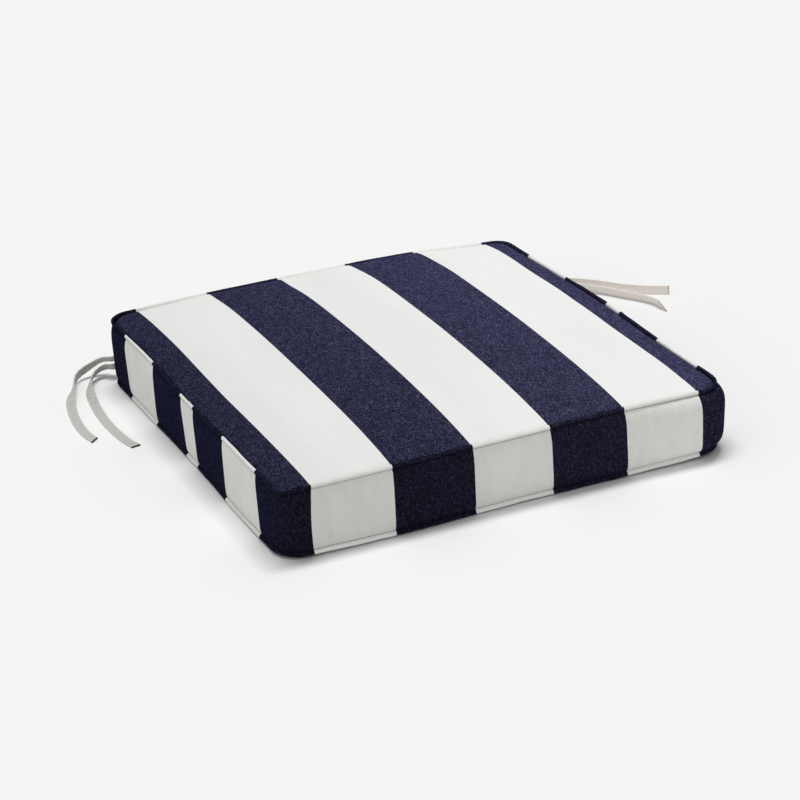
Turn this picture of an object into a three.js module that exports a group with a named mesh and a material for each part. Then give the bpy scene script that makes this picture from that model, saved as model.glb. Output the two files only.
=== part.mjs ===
import * as THREE from 'three';

// Box seat cushion for a chair: one filled body with a crowned top, two boxing
// strips that wrap its sides, each with a stitched self-welt along both edges, and
// two flat fabric ties at each back corner.
// Millimetres, +Z up, front towards -Y. The origin is the middle of the flat patch
// on which the cushion rests.

// Cushion sizes, measured along the seams
const seamWidth = 479;
const seamDepth = 490;
const boxingHeight = 64;
const bottomSeamHeight = 7.7;
const joinY = -8;

// Rounding of each corner, seen from above, along the top and the bottom seam
const cornerRadii = {
  frontLeft: { top: 7, bottom: 31 },
  frontRight: { top: 29, bottom: 30 },
  backRight: { top: 19, bottom: 28 },
  backLeft: { top: 23, bottom: 22 },
};

// Cloth and welts
const boxingThickness = 1.6;
const pieceGap = 0.3;
const wallGap = 0.6;
const weltHeight = { top: 3.9, bottom: 4.5 };
const weltThickness = 3.4;
const bottomWeltLean = 1.4;
const swellPower = { top: 4.5, bottom: 8 };
const swellShareLow = 0.92;
const swellShareHigh = 1.1;

// Panels
const panelEdgeRise = 2.6;
const crownHeight = 16;
const crownPowerAcross = 2.5;
const crownPowerDeep = 2;
const restingShare = 0.6;
const undersidePower = 1.7;

// Ties
const tieWidth = 10.5;
const tieThickness = 1.6;
const tieEdgeBevel = 0.5;
const tieSteps = 30;

// Mesh steps
const stepsPerCorner = 5;
const stepsPerEndSide = 16;
const stepsPerHalfSide = 8;
const topRings = 11;
const undersideRings = 6;
const ringSpacingPower = 1.6;

const navy = { color: 0x23253c, roughness: 0.92, metalness: 0 };
const white = { color: 0xe6e6e2, roughness: 0.9, metalness: 0 };
const natural = { color: 0xcfcac0, roughness: 0.92, metalness: 0 };

// How the sewn cushion departs from a true box, at sixteen even steps around it,
// counterclockwise from the join on the left: how far each seam rises and bows out, how
// far the boxing swells past it and how far the top welt leans out.
const unevenness = [
  { at: 'left join', topRise: -1.2, bottomRise: -2, topBow: 0, bottomBow: -4.6, swell: 1.8, lean: -0.5 },
  { at: 'left, front', topRise: 0.2, bottomRise: -2.2, topBow: 0, bottomBow: -2.6, swell: 1.4, lean: -0.6 },
  { at: 'front left', topRise: 0.6, bottomRise: -0.6, topBow: 0, bottomBow: -3, swell: 1.1, lean: -0.8 },
  { at: 'front, left', topRise: 0.9, bottomRise: -2.2, topBow: 0, bottomBow: -2.4, swell: 2.3, lean: -1.6 },
  { at: 'front middle', topRise: 1.8, bottomRise: -1.9, topBow: 0.5, bottomBow: -5.3, swell: 3.2, lean: -1.6 },
  { at: 'front, right', topRise: 2.2, bottomRise: -1.9, topBow: 0, bottomBow: -3.8, swell: 4.5, lean: -1.6 },
  { at: 'front right', topRise: -0.6, bottomRise: 1, topBow: -0.4, bottomBow: -0.6, swell: 9.4, lean: 0.2 },
  { at: 'right, front', topRise: -1.4, bottomRise: 0, topBow: -1, bottomBow: -1.5, swell: 4.4, lean: 0.9 },
  { at: 'right join', topRise: -0.2, bottomRise: 0, topBow: -0.6, bottomBow: -1, swell: 2.8, lean: 0.9 },
  { at: 'right, back', topRise: -3.8, bottomRise: 0, topBow: -1.6, bottomBow: -1, swell: 2.8, lean: 0.9 },
  { at: 'back right', topRise: -7.8, bottomRise: 0, topBow: -2, bottomBow: -2, swell: 3.1, lean: 1.8 },
  { at: 'back, right', topRise: 0.2, bottomRise: 0, topBow: 0, bottomBow: 0, swell: 2.8, lean: 3.2 },
  { at: 'back middle', topRise: 2.1, bottomRise: 0, topBow: 0.5, bottomBow: 0.5, swell: 2.4, lean: 3.2 },
  { at: 'back, left', topRise: 2.8, bottomRise: -1, topBow: 0, bottomBow: 0, swell: 2.4, lean: 3.2 },
  { at: 'back left', topRise: 0.1, bottomRise: -2, topBow: 0, bottomBow: -1.4, swell: 3.5, lean: 0.8 },
  { at: 'left, back', topRise: 2.3, bottomRise: -2, topBow: -0.3, bottomBow: -2.8, swell: 1.8, lean: -0.4 },
];

// How much higher than an even crown the top panel lies, as the filling isn't spread
// evenly: rows at even steps from front to back, columns at even steps from left to right
const liftColumns = ['farLeft', 'left', 'midLeft', 'midRight', 'right', 'farRight'];
const liftHalfWidth = 207.5;
const liftHalfDepth = 240;
const liftFadePower = 24;
const fillingLift = [
  { row: 'front edge', farLeft: 0.3, left: 1.2, midLeft: 0.1, midRight: -0.4, right: -0.3, farRight: 0.7 },
  { row: 'second', farLeft: 1.2, left: 1.7, midLeft: 0.1, midRight: 0.5, right: 1, farRight: 2.9 },
  { row: 'third', farLeft: 1.5, left: 1, midLeft: 0, midRight: 0.3, right: 0.8, farRight: 2.6 },
  { row: 'fourth', farLeft: 1.3, left: 0.5, midLeft: 0, midRight: -0.1, right: 0.1, farRight: 1.6 },
  { row: 'middle', farLeft: 1.1, left: 0.7, midLeft: 0.3, midRight: 0.3, right: 0.3, farRight: 1.3 },
  { row: 'sixth', farLeft: 0.7, left: 0.4, midLeft: 0.2, midRight: 1.1, right: 1.6, farRight: 2.9 },
  { row: 'seventh', farLeft: -2.4, left: 1.1, midLeft: 0.5, midRight: 2.7, right: 4, farRight: 3.4 },
  { row: 'eighth', farLeft: -1.1, left: 2.2, midLeft: 2.5, midRight: 5.2, right: 6.9, farRight: 5.7 },
  { row: 'back edge', farLeft: -0.8, left: 2.7, midLeft: 2, midRight: 3.3, right: 4.2, farRight: 3.2 },
];

// Smooth curve through four evenly spaced values, between the second and the third
function smoothBetween([a, b, c, d], t) {
  const slope = c - a;
  const bend = 2 * a - 5 * b + 4 * c - d;
  const twist = 3 * (b - c) + d - a;
  return b + 0.5 * t * (slope + t * (bend + t * twist));
}

// Smooth closed curve through one column of the table
function unevenAt(turn, column) {
  const count = unevenness.length;
  const place = turn * count;
  const row = Math.floor(place);
  const values = [-1, 0, 1, 2].map((offset) => unevenness[(row + offset + count) % count][column]);
  return smoothBetween(values, place - row);
}

// Smooth surface through the table of the filling's lift, fading out at the seam
function fillingLiftAt(x, y, share) {
  const lastColumn = liftColumns.length - 1;
  const lastRow = fillingLift.length - 1;
  const across = lastColumn * THREE.MathUtils.clamp((x / liftHalfWidth + 1) / 2, 0, 1);
  const deep = lastRow * THREE.MathUtils.clamp((y / liftHalfDepth + 1) / 2, 0, 1);
  const column = Math.floor(across);
  const row = Math.floor(deep);
  const nearby = [-1, 0, 1, 2];
  const rowValue = (offset) => {
    const lifts = fillingLift[THREE.MathUtils.clamp(row + offset, 0, lastRow)];
    const values = nearby.map((step) =>
      lifts[liftColumns[THREE.MathUtils.clamp(column + step, 0, lastColumn)]]);
    return smoothBetween(values, across - column);
  };
  return smoothBetween(nearby.map(rowValue), deep - row) * (1 - Math.pow(share, liftFadePower));
}

// Rounded rectangle from the left join, counterclockwise as seen from above.
// Each station has a place, an outward normal and its share of the way around.
function seamOutline(seam) {
  const halfWidth = seamWidth / 2;
  const halfDepth = seamDepth / 2;
  const stations = [];
  const at = (x, y) => new THREE.Vector2(x, y);
  const addSide = (from, to, normal, steps) => {
    for (let i = 0; i < steps; i++) {
      stations.push({ place: from.clone().lerp(to, i / steps), normal: normal.clone() });
    }
  };
  const addCorner = (sideX, sideY, radius, startAngle) => {
    const centre = at(sideX * (halfWidth - radius), sideY * (halfDepth - radius));
    for (let i = 0; i < stepsPerCorner; i++) {
      const angle = startAngle + (Math.PI / 2) * (i / stepsPerCorner);
      const normal = at(Math.cos(angle), Math.sin(angle));
      stations.push({ place: centre.clone().addScaledVector(normal, radius), normal });
    }
  };
  const [left, front, right, back] = [at(-1, 0), at(0, -1), at(1, 0), at(0, 1)];
  const frontLeft = cornerRadii.frontLeft[seam];
  const frontRight = cornerRadii.frontRight[seam];
  const backRight = cornerRadii.backRight[seam];
  const backLeft = cornerRadii.backLeft[seam];
  const leftJoin = at(-halfWidth, joinY);
  const rightJoin = at(halfWidth, joinY);
  addSide(leftJoin, at(-halfWidth, frontLeft - halfDepth), left, stepsPerHalfSide);
  addCorner(-1, -1, frontLeft, Math.PI);
  addSide(at(frontLeft - halfWidth, -halfDepth), at(halfWidth - frontRight, -halfDepth),
    front, stepsPerEndSide);
  addCorner(1, -1, frontRight, 1.5 * Math.PI);
  addSide(at(halfWidth, frontRight - halfDepth), rightJoin, right, stepsPerHalfSide);
  addSide(rightJoin, at(halfWidth, halfDepth - backRight), right, stepsPerHalfSide);
  addCorner(1, 1, backRight, 0);
  addSide(at(halfWidth - backRight, halfDepth), at(backLeft - halfWidth, halfDepth),
    back, stepsPerEndSide);
  addCorner(-1, 1, backLeft, 0.5 * Math.PI);
  addSide(at(-halfWidth, halfDepth - backLeft), leftJoin, left, stepsPerHalfSide);
  const lengths = stations.map((station, i) =>
    station.place.distanceTo(stations[(i + 1) % stations.length].place));
  const total = lengths.reduce((sum, length) => sum + length, 0);
  let travelled = 0;
  stations.forEach((station, i) => {
    station.turn = travelled / total;
    travelled += lengths[i];
    station.place.addScaledVector(station.normal, unevenAt(station.turn, `${seam}Bow`));
  });
  return stations;
}

const topOutline = seamOutline('top');
const bottomOutline = seamOutline('bottom');
const stationCount = topOutline.length;
const rightJoinStation = stepsPerHalfSide * 2 + stepsPerCorner * 2 + stepsPerEndSide;

const topSeam = (i) => bottomSeamHeight + boxingHeight + unevenAt(topOutline[i].turn, 'topRise');
const bottomSeam = (i) => bottomSeamHeight + unevenAt(bottomOutline[i].turn, 'bottomRise');

// Point of the wall at station i, out from the seam line, at height z
function wallPoint(i, out, z) {
  const level = THREE.MathUtils.clamp((z - bottomSeam(i)) / (topSeam(i) - bottomSeam(i)), 0, 1);
  const place = bottomOutline[i].place.clone().lerp(topOutline[i].place, level);
  const normal = bottomOutline[i].normal.clone().lerp(topOutline[i].normal, level).normalize();
  place.addScaledVector(normal, out);
  return new THREE.Vector3(place.x, place.y, z);
}

// How far the boxing stands out at a level from 0, the bottom seam, to 1, the top seam
function swellAt(i, level) {
  const power = level > 0.5 ? swellPower.top : swellPower.bottom;
  const fullness = 1 - Math.pow(Math.abs(2 * level - 1), power);
  const topHeavy = THREE.MathUtils.lerp(swellShareLow, swellShareHigh, level);
  return unevenAt(topOutline[i].turn, 'swell') * fullness * topHeavy;
}

// Filled body: underside, hidden wall behind the boxing, crowned top
const wallInset = boxingThickness + wallGap;
const weltInnerShare = 0.33;
const panelEdgeInset = 2.4;
const wallLevels = [0.015, 0.07, 0.3, 0.5, 0.7, 0.93, 0.985];

function weltLean(seam, i) {
  return seam === 'top' ? unevenAt(topOutline[i].turn, 'lean') : bottomWeltLean;
}

// How far inside the seam the body stays clear of the welt, at a share of the welt's height
function clearOfWelt(seam, i, heightShare) {
  return weltThickness / 2 + pieceGap - weltLean(seam, i) * heightShare;
}

function crownAt(x, y) {
  const across = 1 - Math.pow(Math.min(1, Math.abs(x) / (seamWidth / 2)), crownPowerAcross);
  const deep = 1 - Math.pow(Math.min(1, Math.abs(y) / (seamDepth / 2)), crownPowerDeep);
  return crownHeight * across * deep;
}

function panelRing(seam, share) {
  const outline = seam === 'top' ? topOutline : bottomOutline;
  return outline.map((station, i) => {
    const clear = clearOfWelt(seam, i, panelEdgeRise / weltHeight[seam]);
    const inset = Math.max(panelEdgeInset, clear);
    const edge = station.place.clone().addScaledVector(station.normal, -inset);
    const place = edge.multiplyScalar(share);
    const height = seam === 'top'
      ? topHeight(place, topSeam(i) + panelEdgeRise, share)
      : undersideHeight(bottomSeam(i) - panelEdgeRise, share);
    return new THREE.Vector3(place.x, place.y, height);
  });
}

// Ring of the body behind the foot of a welt
function weltRing(seam) {
  const rise = weltHeight[seam] * weltInnerShare;
  return topOutline.map((station, i) => {
    const z = seam === 'top' ? topSeam(i) + rise : bottomSeam(i) - rise;
    return wallPoint(i, -clearOfWelt(seam, i, weltInnerShare), z);
  });
}

function topHeight(place, edgeHeight, share) {
  const meanEdge = bottomSeamHeight + boxingHeight + panelEdgeRise;
  const settled = THREE.MathUtils.lerp(meanEdge, edgeHeight, share * share);
  return settled + crownAt(place.x, place.y) + fillingLiftAt(place.x, place.y, share);
}

function undersideHeight(edgeHeight, share) {
  const climb = (share - restingShare) / (1 - restingShare);
  return edgeHeight * Math.pow(Math.max(0, climb), undersidePower);
}

function bodyRings() {
  const rings = [];
  for (let ring = undersideRings; ring >= 0; ring--) {
    const share = 1 - (1 - restingShare) * Math.pow(ring / undersideRings, ringSpacingPower);
    rings.push(panelRing('bottom', share));
  }
  rings.push(weltRing('bottom'));
  for (const level of wallLevels) {
    rings.push(topOutline.map((station, i) => {
      const z = THREE.MathUtils.lerp(bottomSeam(i), topSeam(i), level);
      return wallPoint(i, swellAt(i, level) - wallInset, z);
    }));
  }
  rings.push(weltRing('top'));
  for (let ring = 0; ring < topRings; ring++) {
    const share = 1 - Math.pow(ring / topRings, ringSpacingPower);
    rings.push(panelRing('top', share));
  }
  return rings;
}

function closedMeshFromRings(rings, lowPole, highPole) {
  const positions = rings.flat().flatMap((point) => point.toArray());
  const index = [];
  for (let ring = 0; ring + 1 < rings.length; ring++) {
    for (let i = 0; i < stationCount; i++) {
      const next = (i + 1) % stationCount;
      const [a, b] = [ring * stationCount + i, ring * stationCount + next];
      const [c, d] = [b + stationCount, a + stationCount];
      index.push(a, b, c, a, c, d);
    }
  }
  const low = positions.length / 3;
  const high = low + 1;
  positions.push(...lowPole.toArray(), ...highPole.toArray());
  const lastRing = (rings.length - 1) * stationCount;
  for (let i = 0; i < stationCount; i++) {
    const next = (i + 1) % stationCount;
    index.push(low, next, i, lastRing + i, lastRing + next, high);
  }
  return meshGeometry(positions, index);
}

function meshGeometry(positions, index) {
  const geometry = new THREE.BufferGeometry();
  geometry.setAttribute('position', new THREE.Float32BufferAttribute(positions, 3));
  geometry.setIndex(index);
  geometry.computeVertexNormals();
  return geometry;
}

// A closed section carried along a path, with flat ends. The section runs
// counterclockwise as seen from ahead, looking back along the path.
function sweptSolid(sections, flatSection) {
  const count = flatSection.length;
  const positions = sections.flat().flatMap((point) => point.toArray());
  const index = [];
  for (let step = 0; step + 1 < sections.length; step++) {
    for (let i = 0; i < count; i++) {
      const next = (i + 1) % count;
      const [a, b] = [step * count + i, step * count + next];
      const [c, d] = [b + count, a + count];
      index.push(a, b, c, a, c, d);
    }
  }
  const last = (sections.length - 1) * count;
  const clockwise = THREE.ShapeUtils.isClockWise(flatSection);
  for (const triangle of THREE.ShapeUtils.triangulateShape(flatSection, [])) {
    const [a, b, c] = clockwise ? triangle.reverse() : triangle;
    index.push(c, b, a, last + a, last + b, last + c);
  }
  return meshGeometry(positions, index);
}

// Section of a boxing strip: the folded and stitched welt along each edge, the outer
// face that swells between them and the inner face behind it. Out and up from the seam.
const outerLevels = [0, 0.05, 0.14, 0.3, 0.5, 0.7, 0.86, 0.95, 1];
const innerLevels = [0.985, 0.93, 0.7, 0.5, 0.3, 0.07, 0.015];
const weltArcSteps = 6;
const weltArcStart = -1.1;
const weltArcSweep = 4.5;

// Welt fold as an arc from the crease on the outside over the ridge to the inside
function weltArc(seam, i) {
  const points = [];
  const lean = weltLean(seam, i);
  const height = Math.sqrt(weltHeight[seam] ** 2 - lean ** 2);
  for (let step = 0; step <= weltArcSteps; step++) {
    const angle = weltArcStart + weltArcSweep * (step / weltArcSteps);
    const up = height / 2 * (1 + Math.sin(angle));
    const out = weltThickness / 2 * Math.cos(angle) + lean * (up / height);
    points.push({ out, up: seam === 'top' ? up : -up });
  }
  return seam === 'top' ? points : points.reverse();
}

function boxingSection(i) {
  const section = [];
  for (const point of weltArc('bottom', i)) {
    section.push(new THREE.Vector2(point.out, bottomSeam(i) + point.up));
  }
  for (const level of outerLevels) {
    const z = THREE.MathUtils.lerp(bottomSeam(i), topSeam(i), level);
    section.push(new THREE.Vector2(swellAt(i, level), z));
  }
  for (const point of weltArc('top', i)) {
    section.push(new THREE.Vector2(point.out, topSeam(i) + point.up));
  }
  for (const level of innerLevels) {
    const z = THREE.MathUtils.lerp(bottomSeam(i), topSeam(i), level);
    section.push(new THREE.Vector2(swellAt(i, level) - boxingThickness, z));
  }
  return section.reverse();
}

function boxingStrip(firstStation, lastStation) {
  const sections = [];
  for (let step = firstStation; step <= lastStation; step++) {
    const i = step % stationCount;
    const points = boxingSection(i).map((point) => wallPoint(i, point.x, point.y));
    const shift = step === firstStation ? pieceGap / 2 : step === lastStation ? -pieceGap / 2 : 0;
    const travelsBack = topOutline[i].place.x > 0 ? 1 : -1;
    sections.push(points.map((point) => point.setY(point.y + shift * travelsBack)));
  }
  return sweptSolid(sections, boxingSection(firstStation % stationCount));
}

// Ties: routes from the sewn end at the back boxing to the free end. Tilt turns the
// tape from standing on its edge, 0, to lying flat, -90; below 0 its top edge leans
// towards the cushion.
const standing = tieWidth / 2;
const lying = tieThickness / 2;
const tieRoutes = {
  tie_left_outer: [
    { x: -190, y: 252.6, z: 28.2, tilt: 0 },
    { x: -206, y: 252.8, z: 26.2, tilt: -14 },
    { x: -222, y: 253.6, z: 23.6, tilt: -28 },
    { x: -235.1, y: 255, z: 20.2, tilt: -39 },
    { x: -241.7, y: 261.4, z: 18.8, tilt: -41 },
    { x: -247.2, y: 264.8, z: 17, tilt: -40 },
    { x: -254.2, y: 266, z: 14, tilt: -28 },
    { x: -261.9, y: 265.4, z: 11.2, tilt: -18 },
    { x: -269.3, y: 262.8, z: 8.8, tilt: -10 },
    { x: -276.6, y: 256.8, z: 7.3, tilt: -6 },
    { x: -282.9, y: 246.7, z: 6, tilt: -9 },
    { x: -289.3, y: 233.3, z: 5, tilt: -26 },
    { x: -295.3, y: 221.2, z: 2.9, tilt: -60 },
    { x: -300.1, y: 207.1, z: 1.2, tilt: -80 },
    { x: -304.3, y: 190.4, z: lying, tilt: -90 },
    { x: -307.7, y: 170.7, z: lying, tilt: -90 },
    { x: -309.9, y: 150.5, z: lying, tilt: -90 },
    { x: -310.3, y: 132, z: lying, tilt: -90 },
    { x: -309.1, y: 117.2, z: lying, tilt: -90 },
    { x: -306.7, y: 105.5, z: lying, tilt: -90 },
  ],
  tie_left_inner: [
    { x: -190, y: 250, z: 24.2, tilt: 0 },
    { x: -206, y: 250.6, z: 20.2, tilt: -10 },
    { x: -222.8, y: 249.8, z: 17.3, tilt: -20 },
    { x: -237.6, y: 247.3, z: 14.5, tilt: -32 },
    { x: -242.4, y: 254.5, z: 12.7, tilt: -37 },
    { x: -248.4, y: 256.8, z: 10.9, tilt: -34 },
    { x: -255.4, y: 254.2, z: 9, tilt: -24 },
    { x: -262, y: 247.7, z: 7.2, tilt: -20 },
    { x: -267.7, y: 238.8, z: 5.6, tilt: -22 },
    { x: -272.4, y: 226.9, z: 3.9, tilt: -46 },
    { x: -275.3, y: 213.5, z: 1.7, tilt: -76 },
    { x: -277.8, y: 196.9, z: lying, tilt: -90 },
    { x: -280.2, y: 176.3, z: lying, tilt: -90 },
    { x: -281.7, y: 153.6, z: lying, tilt: -90 },
    { x: -281.9, y: 130.5, z: lying, tilt: -90 },
    { x: -280.6, y: 108, z: lying, tilt: -90 },
    { x: -278.2, y: 87, z: lying, tilt: -90 },
    { x: -273.9, y: 69.8, z: lying, tilt: -90 },
  ],
  tie_right_outer: [
    { x: 190, y: 252.6, z: 30.2, tilt: 0 },
    { x: 206, y: 252.8, z: 27.7, tilt: -10 },
    { x: 222, y: 254, z: 23.2, tilt: -18 },
    { x: 238.9, y: 254.2, z: 18, tilt: -16 },
    { x: 258.6, y: 251.1, z: 11.3, tilt: -8 },
    { x: 279.9, y: 242.9, z: 6.6, tilt: 6 },
    { x: 299.6, y: 234, z: standing, tilt: 6 },
    { x: 316.5, y: 221.5, z: standing, tilt: 6 },
    { x: 330.5, y: 208.6, z: standing, tilt: 6 },
    { x: 343.4, y: 193.7, z: standing, tilt: 6 },
    { x: 355.4, y: 178.2, z: standing, tilt: 6 },
    { x: 368.3, y: 165.8, z: standing, tilt: 6 },
    { x: 382.3, y: 154.8, z: standing, tilt: 6 },
    { x: 398.2, y: 144.4, z: standing, tilt: 6 },
  ],
  tie_right_inner: [
    { x: 190, y: 250, z: 28.2, tilt: 0 },
    { x: 206, y: 250.2, z: 22.2, tilt: -10 },
    { x: 220.5, y: 247.8, z: 16.6, tilt: -16 },
    { x: 236.5, y: 244.9, z: 11, tilt: -14 },
    { x: 253.2, y: 240.7, z: 7.1, tilt: -10 },
    { x: 272.7, y: 234, z: 5.4, tilt: -8 },
    { x: 292.6, y: 223.5, z: standing, tilt: -9 },
    { x: 308.6, y: 210.6, z: standing, tilt: -10 },
    { x: 322.5, y: 195.1, z: standing, tilt: -10 },
    { x: 334.9, y: 179.9, z: standing, tilt: -11 },
    { x: 344.5, y: 164.5, z: standing, tilt: -12 },
    { x: 355.2, y: 148.4, z: standing, tilt: -13 },
    { x: 362.5, y: 136.1, z: 5.2, tilt: -15 },
    { x: 367.3, y: 123.6, z: 5.2, tilt: -17 },
    { x: 368.3, y: 114.6, z: 5.1, tilt: -18 },
    { x: 368.4, y: 107.3, z: 5.1, tilt: -19 },
  ],
};

// How far the cut at each free end slants to either side of its middle
const tieCuts = {
  tie_left_outer: -3.2,
  tie_left_inner: 0.4,
  tie_right_outer: 0.3,
  tie_right_inner: -6.8,
};

// Tape section: half width along x, half thickness along y, with bevelled edges
function tapeSection() {
  const halfWidth = tieWidth / 2;
  const halfThickness = tieThickness / 2;
  const flat = halfWidth - tieEdgeBevel;
  return [
    new THREE.Vector2(flat, halfThickness),
    new THREE.Vector2(-flat, halfThickness),
    new THREE.Vector2(-halfWidth, 0),
    new THREE.Vector2(-flat, -halfThickness),
    new THREE.Vector2(flat, -halfThickness),
    new THREE.Vector2(halfWidth, 0),
  ];
}

// Height at which a tilted tape touches what it lies on
function restingHeight(tilt) {
  const reach = tapeSection().map((point) =>
    Math.abs(point.x * Math.cos(tilt)) + Math.abs(point.y * Math.sin(tilt)));
  return Math.max(...reach);
}

function tie(route, cutSlant) {
  const path = new THREE.CatmullRomCurve3(
    route.map((row) => new THREE.Vector3(row.x, row.y, row.z)), false, 'centripetal');
  const tilts = new THREE.SplineCurve(
    route.map((row, i) => new THREE.Vector2(i, THREE.MathUtils.degToRad(row.tilt))));
  const outside = Math.sign(route[0].x);
  const sections = [];
  for (let step = 0; step <= tieSteps; step++) {
    const t = step / tieSteps;
    const centre = path.getPoint(t);
    const along = path.getTangent(t);
    const level = new THREE.Vector3(-along.y, along.x, 0).normalize();
    const upright = new THREE.Vector3().crossVectors(along, level).normalize();
    const tilt = tilts.getPoint(t).y * outside;
    centre.z = Math.max(centre.z, restingHeight(tilt));
    const slant = step === tieSteps ? cutSlant : 0;
    const widthWay = upright.clone().multiplyScalar(Math.cos(tilt));
    widthWay.addScaledVector(level, Math.sin(tilt));
    const thicknessWay = new THREE.Vector3().crossVectors(along, widthWay);
    sections.push(tapeSection().map((point) => centre.clone()
      .addScaledVector(along, slant * point.x / (tieWidth / 2))
      .addScaledVector(widthWay, point.x)
      .addScaledVector(thicknessWay, point.y)));
  }
  return sweptSolid(sections, tapeSection());
}

function pieceMesh(name, geometry, finish) {
  const mesh = new THREE.Mesh(geometry, new THREE.MeshStandardMaterial(finish));
  mesh.name = name;
  return mesh;
}

const group = new THREE.Group();
const restCentre = new THREE.Vector3(0, 0, 0);
const crownCentre = new THREE.Vector3(0, 0, topHeight(new THREE.Vector2(), 0, 0));
const body = closedMeshFromRings(bodyRings(), restCentre, crownCentre);
group.add(pieceMesh('cushion_body', body, white));
group.add(pieceMesh('boxing_front', boxingStrip(0, rightJoinStation), navy));
group.add(pieceMesh('boxing_back', boxingStrip(rightJoinStation, stationCount), navy));
for (const [name, route] of Object.entries(tieRoutes)) {
  group.add(pieceMesh(name, tie(route, tieCuts[name]), natural));
}

export default group;
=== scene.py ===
# Chair cushion in wide stripes: a filled body, two boxing strips with a stitched welt
# along both edges, the seam stitches, and two pairs of flat ties. Metres, +Z up, the
# front edge towards -Y, in the frame of the part.

import math

import bmesh
import bpy
import numpy as np
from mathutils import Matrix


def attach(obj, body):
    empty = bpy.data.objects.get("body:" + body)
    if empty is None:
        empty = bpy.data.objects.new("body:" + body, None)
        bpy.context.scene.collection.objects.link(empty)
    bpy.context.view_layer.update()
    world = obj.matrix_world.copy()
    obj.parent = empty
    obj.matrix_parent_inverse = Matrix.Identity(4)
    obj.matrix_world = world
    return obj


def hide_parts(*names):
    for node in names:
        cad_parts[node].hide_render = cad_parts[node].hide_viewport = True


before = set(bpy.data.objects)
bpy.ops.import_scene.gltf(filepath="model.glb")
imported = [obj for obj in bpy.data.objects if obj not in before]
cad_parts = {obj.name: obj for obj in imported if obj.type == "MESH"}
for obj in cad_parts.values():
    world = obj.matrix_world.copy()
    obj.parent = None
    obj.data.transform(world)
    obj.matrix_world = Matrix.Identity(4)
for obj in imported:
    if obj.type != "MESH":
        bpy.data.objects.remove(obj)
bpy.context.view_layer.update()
mm = 0.001

camera = {
    "place": (-0.96856, -2.2378, 1.13314),
    "turn": (65.3804, 2.7467, -24.5251),  # degrees
    "lens": 115.86,
    "sensor": 36.0,
}


def addCamera():
    turn = [math.radians(angle) for angle in camera["turn"]]
    bpy.ops.object.camera_add(location=camera["place"], rotation=turn)
    made = bpy.context.object
    made.name = "camera"
    made.data.lens = camera["lens"]
    made.data.sensor_width = camera["sensor"]
    made.data.clip_end = 50
    bpy.context.scene.camera = made


addCamera()
bpy.context.scene.view_settings.view_transform = "Standard"
print("camera placed")


# Small helpers for meshes

def deselectAll():
    bpy.ops.object.select_all(action="DESELECT")


def makeActive(piece):
    deselectAll()
    piece.select_set(True)
    bpy.context.view_layer.objects.active = piece


def applyModifier(piece, modifier):
    makeActive(piece)
    bpy.ops.object.modifier_apply(modifier=modifier.name)


def linkMesh(name, points, faces):
    mesh = bpy.data.meshes.new(name)
    mesh.from_pydata(np.asarray(points).reshape(-1, 3).tolist(), [], faces)
    mesh.polygons.foreach_set("use_smooth", [True] * len(mesh.polygons))
    piece = bpy.data.objects.new(name, mesh)
    bpy.context.scene.collection.objects.link(piece)
    return piece


def pieceFromMesh(name, points, faces):
    piece = linkMesh(name, points, faces)
    shape = bmesh.new()
    shape.from_mesh(piece.data)
    bmesh.ops.recalc_face_normals(shape, faces=shape.faces)
    shape.to_mesh(piece.data)
    shape.free()
    return piece


def pointsOf(piece):
    flat = np.empty(len(piece.data.vertices) * 3)
    piece.data.vertices.foreach_get("co", flat)
    return flat.reshape(-1, 3)


def setPoints(piece, points):
    piece.data.vertices.foreach_set("co", points.ravel())
    piece.data.update()


def setClothMap(piece, across, along):
    # the cloth's own measure in metres, across the stripes and along them
    corners = np.empty(len(piece.data.loops), int)
    piece.data.loops.foreach_get("vertex_index", corners)
    layer = piece.data.uv_layers.new(name="cloth")
    layer.data.foreach_set("uv", np.stack([across[corners], along[corners]], 1).ravel())


def setShare(piece, name, values):
    attribute = piece.data.attributes.new(name, "FLOAT", "POINT")
    attribute.data.foreach_set("value", values.astype(np.float32))


def gridFaces(rows, columns, closeColumns=False, start=0):
    faces = []
    for row in range(rows - 1):
        for column in range(columns if closeColumns else columns - 1):
            a = start + row * columns + column
            b = start + row * columns + (column + 1) % columns
            faces.append((a, b, b + columns, a + columns))
    return faces


def tubeFaces(rows, columns):
    # a grid closed round each row, with a face over each end
    ends = [tuple(range(columns)), tuple(range((rows - 1) * columns, rows * columns))[::-1]]
    return gridFaces(rows, columns, closeColumns=True) + ends


def ripple(length, wavelength, seed):
    # smooth random curve along a length, between -1 and 1
    place = np.asarray(length) / wavelength * 2 + 1000
    row = np.floor(place).astype(int)
    knots = np.random.default_rng(seed).uniform(-1, 1, 2048)
    t = place - row
    ease = t * t * (3 - 2 * t)
    return knots[row % 2048] * (1 - ease) + knots[(row + 1) % 2048] * ease


def smooth(low, high, value):
    t = np.clip((value - low) / (high - low), 0, 1)
    return t * t * (3 - 2 * t)


def unit(directions):
    return directions / np.linalg.norm(directions, axis=-1, keepdims=True)


def curveWeights(place, count, closed=False):
    # the four of a row of evenly spaced values that shape a smooth curve at each place,
    # and their weights
    row = np.floor(place).astype(int)
    t = place - row
    weights = np.stack([
        -0.5 * t + t ** 2 - 0.5 * t ** 3,
        1 - 2.5 * t ** 2 + 1.5 * t ** 3,
        0.5 * t + 2 * t ** 2 - 1.5 * t ** 3,
        -0.5 * t ** 2 + 0.5 * t ** 3,
    ])
    rows = row + np.arange(-1, 3)[:, None]
    return (rows % count if closed else np.clip(rows, 0, count - 1)), weights


# The seams: two rounded rectangles with the unevenness of the sewn cushion

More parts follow.
